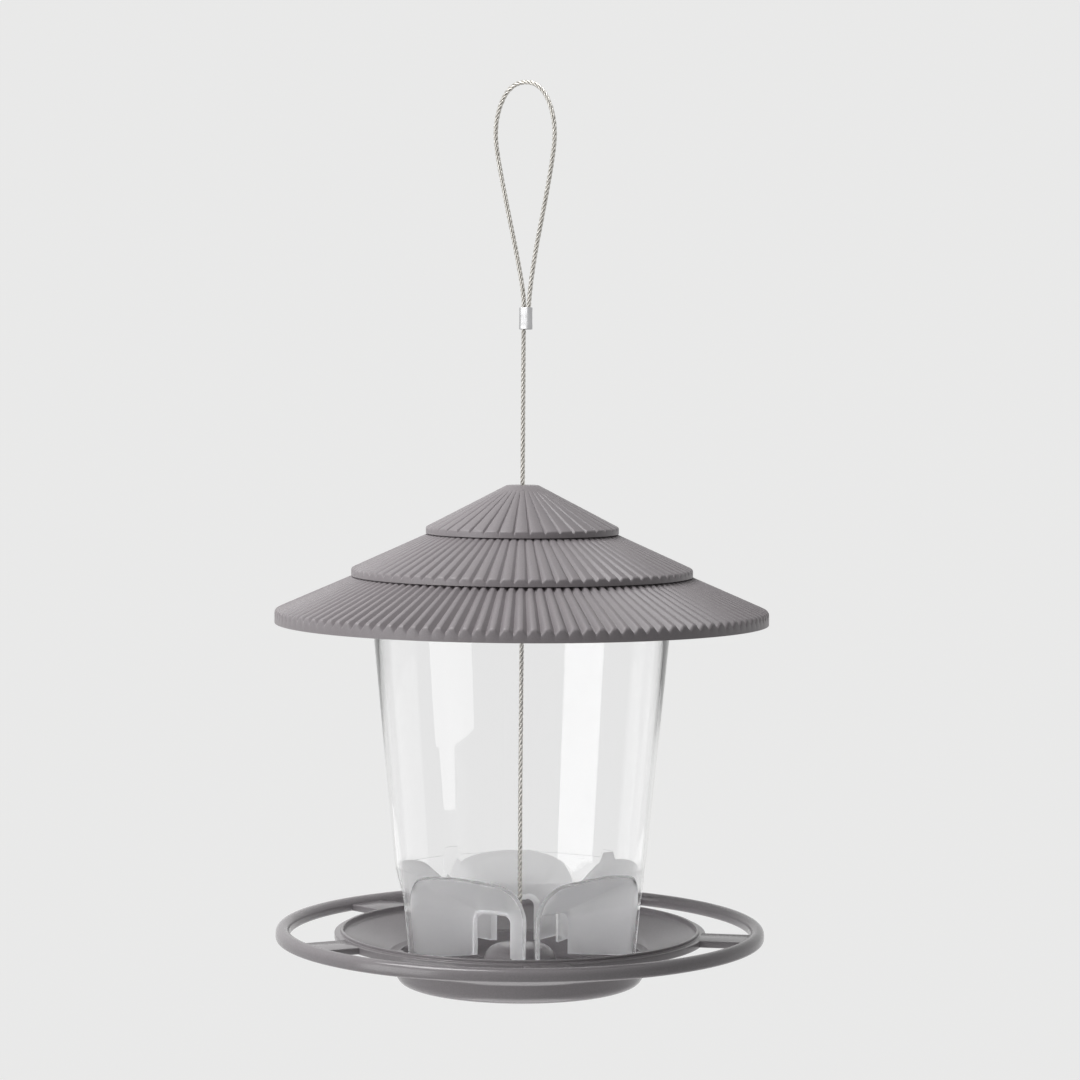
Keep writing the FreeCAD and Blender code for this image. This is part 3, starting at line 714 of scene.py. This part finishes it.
def tier(name, radius, lift, band, ribs, groove, crown, bend, tip_lift, inner_radius, end_radius,
         end_lift):
    """One ribbed tier, from its foot over the rim and up the slope, to a flat ring under the tier above."""
    rise = math.atan2(tip_lift - lift - band, radius)
    pitch = 2 * math.pi / ribs
    foot_z = RING_Z + (ROOF_RIM + lift) * MM
    tip = (0, 0, RING_Z + (ROOF_RIM + tip_lift) * MM)
    bend_foot = band - bend * math.tan((math.pi / 2 - rise) / 2)
    rows = []
    for i in range(BEND_ROWS + 1):
        lean = rise + (math.pi / 2 - rise) * i / BEND_ROWS
        rows.append((radius - bend + bend * math.sin(lean), bend_foot + bend * math.cos(lean)))
    first_radius, first_height = rows[0]
    points = []
    for turn, depth in rib_section(crown):
        z = foot_z + (first_height - groove * depth) * MM
        points.append(Matrix.Rotation(turn * pitch, 3, "Z") @ Vector((first_radius * MM, 0, z)))
    piece = draw_line(name, points)
    bpy.ops.mesh.select_all(action="SELECT")
    for (r0, z0), (r1, z1) in zip(rows, rows[1:]):
        bpy.ops.mesh.extrude_edges_move()
        bpy.ops.transform.resize(value=(r1 / r0, r1 / r0, 1), center_override=(0, 0, foot_z))
        bpy.ops.transform.translate(value=(0, 0, (z1 - z0) * MM))
    bpy.ops.mesh.extrude_edges_move()
    bpy.ops.transform.resize(value=(1, 1, 0), center_override=(0, 0, foot_z))
    pick(piece, lambda middle: math.hypot(middle.x, middle.y) < (first_radius + 0.01) * MM)
    bpy.ops.mesh.extrude_edges_move()
    up = inner_radius / first_radius
    bpy.ops.transform.resize(value=(up, up, up), center_override=tip)
    bpy.ops.mesh.extrude_edges_move()
    end = end_radius / inner_radius
    bpy.ops.transform.resize(value=(end, end, 1), center_override=tip)
    bpy.ops.transform.resize(value=(1, 1, 0), center_override=(0, 0, RING_Z + (ROOF_RIM + end_lift) * MM))
    bpy.ops.mesh.select_all(action="SELECT")
    full_turn = 2 * math.pi * (ribs - 1) / ribs
    bpy.ops.mesh.spin(steps=ribs - 1, dupli=True, angle=full_turn, center=(0, 0, 0), axis=(0, 0, 1))
    weld()
    bpy.ops.object.mode_set(mode="OBJECT")
    return piece


lower = tier("roof_lower", radius=110.0, lift=0.0, band=5.7, ribs=120, groove=2.2, crown=0.36, bend=2.0,
             tip_lift=53.4, inner_radius=75.4, end_radius=72.6, end_lift=20.9)
middle = tier("roof_middle", radius=76.1, lift=20.9, band=3.2, ribs=80, groove=1.35, crown=0.54, bend=1.3,
              tip_lift=58.6, inner_radius=42.4, end_radius=39.4, end_lift=39.7)
upper = tier("roof_upper", radius=43.0, lift=39.7, band=2.8, ribs=40, groove=1.0, crown=0.76, bend=1.1,
             tip_lift=64.9, inner_radius=13.5, end_radius=11.0, end_lift=59.17)
print("tiers have", [len(part.data.polygons) for part in (lower, middle, upper)], "faces")

# %% Turn the underside and close the roof
CLOSE_RADIUS, CLOSE_LIFT = 0.15, 0.02
UNDER_PROFILE = [
    (108.2, 0.0, 0.0), (108.2, 3.0, 0.8), (70.0, 19.5, 0.8), (70.0, 15.5, 0.3), (65.0, 15.5, 0.3),
    (65.0, 9.3, 0.5), (63.0, 9.3, 0.5), (63.0, 27.0, 0.8), (37.0, 38.8, 0.8), (37.0, 42.8, 0.8),
    (7.1, 58.4, 0.8), (4.6, 58.4, 0.5), (4.6, 49.2, 0.4), (1.55, 49.2, 0.3), (1.55, 61.2, 0.3),
    (7.1, 61.2, 2.0), (10.6, 59.38, 0.0),
]
under_points = rounded([(r, ROOF_RIM + lift, rounding) for r, lift, rounding in UNDER_PROFILE])
under = draw_line("roof_under", under_points)
bpy.ops.mesh.select_all(action="SELECT")
bpy.ops.mesh.spin(steps=SPIN_STEPS, angle=2 * math.pi, center=(0, 0, 0), axis=(0, 0, 1))
weld()
bpy.ops.object.mode_set(mode="OBJECT")
roof = join([lower, middle, upper, under], "ribbed_roof")
edit(roof)


def fill_ring(*rings):
    """Fills the gap between two open rings of the roof, each given as (radius, lift) in millimetres."""
    def on_ring(middle):
        r = math.hypot(middle.x, middle.y) / MM
        z = (middle.z - RING_Z) / MM - ROOF_RIM
        return any(abs(r - radius) < CLOSE_RADIUS and abs(z - lift) < CLOSE_LIFT for radius, lift in rings)

    pick(roof, on_ring, "EDGE")
    bpy.ops.mesh.fill(use_beauty=False)


fill_ring((110.0, 0.0), (108.2, 0.0))
fill_ring((72.6, 20.9), (76.1, 20.9))
fill_ring((39.4, 39.7), (43.0, 39.7))
fill_ring((11.0, 59.17), (10.6, 59.38))
weld()
bpy.ops.object.mode_set(mode="OBJECT")
smooth(roof, degrees=38)
print("roof has", len(roof.data.polygons), "faces")

# %% [markdown]
# ## Sleeves and washer
# A pressed aluminium sleeve closes the loop of the cable. It is an oval tube around both strands,
# with two shallow waists where the press bit. Under the tray's hub a round sleeve and a steel washer
# carry the tray. A thick curve could give a tube too, but its ends would stay sharp. So each piece
# starts as a cylinder whose ends are inset; bridging the two inner faces opens the bore, and the rims
# are bevelled.

# %% Model the sleeves and the washer
STRAND_PITCH = 2.16
BORE = 1.08
SLEEVE_SIDES = 48
SLEEVE_ROUND = 0.4
WAIST_CUTS = ((-1.1, 1.0), (-0.6, 0.9), (0.6, 0.9), (1.1, 1.0))


def sleeve(name, radius, bottom, height, spread, waists):
    """Bored sleeve around the cable, or around two strands a spread apart, pressed in at some heights."""
    z = RING_Z + (bottom + height / 2) * MM

    def on_end(middle):
        return abs(abs(middle.z - z) - height * MM / 2) < NEAR

    def on_skin(middle):
        beyond = max(0, abs(middle.x - spread * MM / 2) - spread * MM / 2)
        return math.hypot(middle.y, beyond) > (radius - 0.1) * MM

    deselect_all()
    bpy.ops.mesh.primitive_cylinder_add(
        vertices=SLEEVE_SIDES, radius=radius * MM, depth=height * MM, location=(0, 0, z))
    piece = bpy.context.object
    piece.name = name
    bpy.ops.object.transform_apply(location=True, rotation=True, scale=True)
    edit(piece)
    pick(piece, lambda middle: middle.x > NEAR)
    bpy.ops.transform.translate(value=(spread * MM, 0, 0))
    pick(piece, on_end, "FACE")
    bpy.ops.mesh.inset(thickness=(radius - BORE) * MM, depth=0, use_individual=True)
    bpy.ops.mesh.bridge_edge_loops()
    pick(piece, lambda middle: on_end(middle) and on_skin(middle), "EDGE")
    bpy.ops.mesh.bevel(offset=min(SLEEVE_ROUND, (radius - BORE) / 3) * MM, segments=3, affect="EDGES")
    for waist in waists:
        for offset, squeeze in WAIST_CUTS:
            cut = RING_Z + (bottom + waist + offset) * MM
            bpy.ops.mesh.select_all(action="SELECT")
            bpy.ops.mesh.bisect(plane_co=(0, 0, cut), plane_no=(0, 0, 1))
            pick(piece, lambda middle: abs(middle.z - cut) < NEAR and on_skin(middle))
            bpy.ops.transform.resize(value=(1, squeeze, 1), center_override=(0, 0, cut))
    weld()
    bpy.ops.object.mode_set(mode="OBJECT")
    piece.rotation_euler = (0, 0, LOOP_TURN)
    select_only(piece)
    bpy.ops.object.transform_apply(location=True, rotation=True, scale=True)
    smooth(piece)
    return piece


ferrule = sleeve(
    "loop_sleeve", radius=BORE + 0.95, bottom=269.0, height=9.8, spread=STRAND_PITCH, waists=(3.2, 6.6))
stop = sleeve("stop_sleeve", radius=3.4, bottom=-17.2, height=8.0, spread=0, waists=(4.0,))
washer = sleeve("hub_washer", radius=7.4, bottom=-9.2, height=1.2, spread=0, waists=())
print("faces of the sleeves and washer", [len(part.data.polygons) for part in (ferrule, stop, washer)])

# %% [markdown]
# ## Finishes
# Roof and tray are moulded in grey plastic with a fine satin grain; the hopper is clear. Moulded
# plastic is never one flat tone: it has cloudy patches, tiny dark and pale specks, and a grain that
# breaks up the gloss. A picture could give those, but the mesh would have to be unwrapped for it;
# noise in the object's own coordinates needs nothing of the kind. One node group makes it for every
# grey piece, each with its own values.

# %% Build the grain that the grey plastics share
def new_group(name, inputs, outputs):
    """Empty shader node group with named sockets, and the calls that fill it."""
    tree = bpy.data.node_groups.new(name, "ShaderNodeTree")
    for kind, label, value in inputs:
        socket = tree.interface.new_socket(name=label, in_out="INPUT", socket_type=kind)
        if value is not None:
            socket.default_value = value
    for kind, label in outputs:
        tree.interface.new_socket(name=label, in_out="OUTPUT", socket_type=kind)
    entry = tree.nodes.new("NodeGroupInput")
    leave = tree.nodes.new("NodeGroupOutput")
    return tree, entry, leave, adder(tree), tree.links.new


def map_range(add, from_low, from_high, to_low, to_high):
    """Node that maps one range of values to another."""
    node = add("ShaderNodeMapRange")
    node.inputs["From Min"].default_value = from_low
    node.inputs["From Max"].default_value = from_high
    node.inputs["To Min"].default_value = to_low
    node.inputs["To Max"].default_value = to_high
    return node


grain, entry, leave, add, link = new_group(
    "moulded_grain",
    [("NodeSocketVector", "Place", None), ("NodeSocketColor", "Plastic", (0.3, 0.28, 0.29, 1)),
     ("NodeSocketColor", "Bloom", (0.36, 0.34, 0.35, 1)), ("NodeSocketFloat", "Gloss", 0.42),
     ("NodeSocketFloat", "Grain", 1.0)],
    [("NodeSocketColor", "Colour"), ("NodeSocketFloat", "Roughness"), ("NodeSocketFloat", "Height")],
)
clouds = add("ShaderNodeTexNoise", Scale=26.0, Detail=4.0, Roughness=0.55)
specks = add("ShaderNodeTexNoise", Scale=1500.0, Detail=2.0, Roughness=0.6)
cloudy = add("ShaderNodeMix", data_type="RGBA")
cloud_range = map_range(add, 0.35, 0.75, 0, 0.55)
speck_range = map_range(add, 0.3, 0.7, 0.94, 1.06)
speckled = add("ShaderNodeMix", data_type="RGBA", blend_type="MULTIPLY")
speckled.inputs["Factor"].default_value = 1.0
gloss_change = add("ShaderNodeMath", operation="MULTIPLY_ADD")
gloss_change.inputs[1].default_value = 0.16
height = add("ShaderNodeMath", operation="MULTIPLY")
link(entry.outputs["Place"], clouds.inputs["Vector"])
link(entry.outputs["Place"], specks.inputs["Vector"])
link(clouds.outputs["Fac"], cloud_range.inputs["Value"])
link(cloud_range.outputs["Result"], cloudy.inputs["Factor"])
link(entry.outputs["Plastic"], cloudy.inputs["A"])
link(entry.outputs["Bloom"], cloudy.inputs["B"])
link(specks.outputs["Fac"], speck_range.inputs["Value"])
link(cloudy.outputs["Result"], speckled.inputs["A"])
link(speck_range.outputs["Result"], speckled.inputs["B"])
link(speckled.outputs["Result"], leave.inputs["Colour"])
link(clouds.outputs["Fac"], gloss_change.inputs[0])
link(entry.outputs["Gloss"], gloss_change.inputs[2])
link(gloss_change.outputs[0], leave.inputs["Roughness"])
link(specks.outputs["Fac"], height.inputs[0])
link(entry.outputs["Grain"], height.inputs[1])
link(height.outputs[0], leave.inputs["Height"])
print("group", grain.name, "has", len(grain.nodes), "nodes")


# %% Paint the grey plastics
def grey_plastic(name, plastic, bloom, gloss, grain_strength):
    """Satin moulded plastic with cloudy patches and a fine grain."""
    paint = bpy.data.materials.new(name)
    add, link = nodes_of(paint)
    place = add("ShaderNodeTexCoord")
    surface = add("ShaderNodeGroup", node_tree=grain)
    surface.inputs["Plastic"].default_value = plastic
    surface.inputs["Bloom"].default_value = bloom
    surface.inputs["Gloss"].default_value = gloss
    surface.inputs["Grain"].default_value = grain_strength
    bump = add("ShaderNodeBump", Strength=0.12, Distance=0.0002)
    shader = add("ShaderNodeBsdfPrincipled", IOR=1.49)
    output = add("ShaderNodeOutputMaterial")
    link(place.outputs["Object"], surface.inputs["Place"])
    link(surface.outputs["Colour"], shader.inputs["Base Color"])
    link(surface.outputs["Roughness"], shader.inputs["Roughness"])
    link(surface.outputs["Height"], bump.inputs["Height"])
    link(bump.outputs["Normal"], shader.inputs["Normal"])
    link(shader.outputs["BSDF"], output.inputs["Surface"])
    return paint


roof_plastic = grey_plastic(
    "grey_roof_plastic", (0.268, 0.245, 0.256, 1), (0.290, 0.268, 0.279, 1), gloss=0.36, grain_strength=1.0)
tray_plastic = grey_plastic(
    "grey_tray_plastic", (0.262, 0.244, 0.254, 1), (0.286, 0.268, 0.278, 1), gloss=0.11, grain_strength=0.5)
print("grey plastics", roof_plastic.name, tray_plastic.name)

# %% [markdown]
# ## Clear plastic
# Clear styrene bends light like glass, but a shadow through it is pale. A glass shader alone would
# leave a solid dark shadow, so a ray that only asks whether a lamp can be seen is let straight
# through. The cone is polished; the niches come frosted from the mould, so their own material
# scatters the light that passes. The lips of their throats get a whiter, half-clear finish, a painted
# highlight that stands in for the light their rounded edges catch.

# %% Paint the hopper
def clear_plastic(name, tint, roughness, waves, clearness, bending):
    """Clear plastic with slightly wavy faces, frosted where its roughness is high. Bending is its IOR."""
    paint = bpy.data.materials.new(name)
    add, link = nodes_of(paint)
    place = add("ShaderNodeTexCoord")
    ripple = add("ShaderNodeTexNoise", Scale=waves, Detail=2.0)
    gloss = map_range(add, 0, 1, 0.75 * roughness, 1.25 * roughness)
    bump = add("ShaderNodeBump", Strength=0.05, Distance=0.0005)
    shader = add("ShaderNodeBsdfPrincipled", IOR=bending)
    shader.inputs["Base Color"].default_value = tint
    shader.inputs["Transmission Weight"].default_value = clearness
    passing = add("ShaderNodeBsdfTransparent", Color=(0.955, 0.955, 0.96, 1))
    path = add("ShaderNodeLightPath")
    either = add("ShaderNodeMixShader")
    output = add("ShaderNodeOutputMaterial")
    link(place.outputs["Object"], ripple.inputs["Vector"])
    link(ripple.outputs["Fac"], gloss.inputs["Value"])
    link(gloss.outputs["Result"], shader.inputs["Roughness"])
    link(ripple.outputs["Fac"], bump.inputs["Height"])
    link(bump.outputs["Normal"], shader.inputs["Normal"])
    link(path.outputs["Is Shadow Ray"], either.inputs[0])
    link(shader.outputs["BSDF"], either.inputs[1])
    link(passing.outputs["BSDF"], either.inputs[2])
    link(either.outputs["Shader"], output.inputs["Surface"])
    return paint


polished = clear_plastic(
    "clear_hopper_plastic", (0.978, 0.978, 0.98, 1), roughness=0.012, waves=34, clearness=1.0, bending=1.49)
frosted = clear_plastic(
    "frosted_niche_plastic", (0.995, 0.995, 1.0, 1), roughness=0.58, waves=12, clearness=0.93, bending=1.43)
# Painted highlight: the throat lips get a whiter, half-clear finish so that they look bright.
lip_painted_highlight = clear_plastic(
    "lip_painted_highlight_plastic", (0.985, 0.985, 0.99, 1), roughness=0.3, waves=12, clearness=0.35, bending=1.49)
print("clear plastics", polished.name, frosted.name, lip_painted_highlight.name)

# %% [markdown]
# ## Metals
# The strand is bright drawn steel with duller streaks; the sleeves are pressed aluminium, dull and
# finely scratched. Scratches could be painted on, but noise stretched along the axis gives them by
# itself, and tone and gloss then change together. The strand is a little less than full metal,
# because dirt between its wires scatters some of the light.

# %% Paint the metals
def metal(name, bright, dull, gloss, scratch_scale, metallic=1.0):
    """Metal with fine scratches that change its tone and gloss."""
    paint = bpy.data.materials.new(name)
    add, link = nodes_of(paint)
    place = add("ShaderNodeTexCoord")
    stretch = add("ShaderNodeMapping")
    stretch.inputs["Scale"].default_value = (1, 1, 0.12)
    scratches = add("ShaderNodeTexNoise", Scale=scratch_scale, Detail=3.0)
    tone = add("ShaderNodeMix", data_type="RGBA")
    tone.inputs["A"].default_value = dull
    tone.inputs["B"].default_value = bright
    rough = map_range(add, 0, 1, gloss + 0.15, gloss - 0.08)
    bump = add("ShaderNodeBump", Strength=0.15, Distance=0.0001)
    shader = add("ShaderNodeBsdfPrincipled", Metallic=metallic)
    output = add("ShaderNodeOutputMaterial")
    link(place.outputs["Object"], stretch.inputs["Vector"])
    link(stretch.outputs["Vector"], scratches.inputs["Vector"])
    link(scratches.outputs["Fac"], tone.inputs["Factor"])
    link(scratches.outputs["Fac"], rough.inputs["Value"])
    link(scratches.outputs["Fac"], bump.inputs["Height"])
    link(tone.outputs["Result"], shader.inputs["Base Color"])
    link(rough.outputs["Result"], shader.inputs["Roughness"])
    link(bump.outputs["Normal"], shader.inputs["Normal"])
    link(shader.outputs["BSDF"], output.inputs["Surface"])
    return paint


strand_steel = metal(
    "strand_steel", (0.82, 0.8, 0.76, 1), (0.43, 0.41, 0.375, 1), gloss=0.24, scratch_scale=900,
    metallic=0.75)
sleeve_aluminium = metal(
    "pressed_aluminium", (0.56, 0.56, 0.56, 1), (0.42, 0.42, 0.43, 1), gloss=0.44, scratch_scale=1400)
washer_zinc = metal(
    "washer_zinc", (0.58, 0.58, 0.57, 1), (0.4, 0.4, 0.41, 1), gloss=0.35, scratch_scale=700)
print("metals", strand_steel.name, sleeve_aluminium.name, washer_zinc.name)

# %% [markdown]
# ## Fit the pieces to the moving bodies
# Each piece takes the place of its plain solid and moves with that solid's body: the roof slides up
# the cable, the hopper twists in its catches, and the tray turns on the washer. The pieces could be
# parented by hand, but the frame holds the joints already, so each piece only names its body. The
# hopper is one mesh with three finishes, chosen face by face.

# %% Hand the pieces over
FITTED = [
    (roof, "roof", "roof", roof_plastic, "roof_plastic"),
    (hopper, "hopper", "hopper", polished, "clear_plastic"),
    (tray, "tray", "tray", tray_plastic, "tray_plastic"),
    (perch, "tray", "perch_ring", tray_plastic, "tray_plastic"),
    (cable, "hanger", "hanging_cable", strand_steel, "cable_steel"),
    (ferrule, "hanger", "ferrule", sleeve_aluminium, "sleeve_aluminium"),
    (stop, "hanger", "cable_stop", sleeve_aluminium, "sleeve_aluminium"),
    (washer, "hanger", "washer", washer_zinc, "washer_steel"),
]
for piece, body, node, finish, slot in FITTED:
    piece.data.materials.clear()
    piece.data.materials.append(finish)
    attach(piece, body)
    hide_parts(node)
print("fitted", [row[0].name for row in FITTED])

# %% Give the hopper its three finishes
NICHES_END = NICHE_TOP + 2
SKIN_DEPTH = HOPPER_WALL + 0.3


def finish_of(face):
    """0 for a face of the cone, 1 for one of a niche, inside the cone, and 2 for the lip of a throat."""
    z = (face.center.z - RING_Z) / MM
    if z > NICHES_END or face.center.xy.length / MM > hopper_radius(z) - SKIN_DEPTH:
        return 0
    turns = [math.radians(FIRST_NICHE - 90 + 360 / NICHES * i) for i in range(NICHES)]
    depth = max(face.center.x * math.cos(turn) + face.center.y * math.sin(turn) for turn in turns)
    return 2 if depth < (THROAT_DISTANCE + LIP) * MM else 1


hopper.data.materials.append(frosted)
# The third finish is the painted highlight on the lips of the throats.
hopper.data.materials.append(lip_painted_highlight)
counts = [0, 0, 0]
for face in hopper.data.polygons:
    face.material_index = finish_of(face)
    counts[face.material_index] += 1
print("faces of the cone, the niches and the lips", counts)
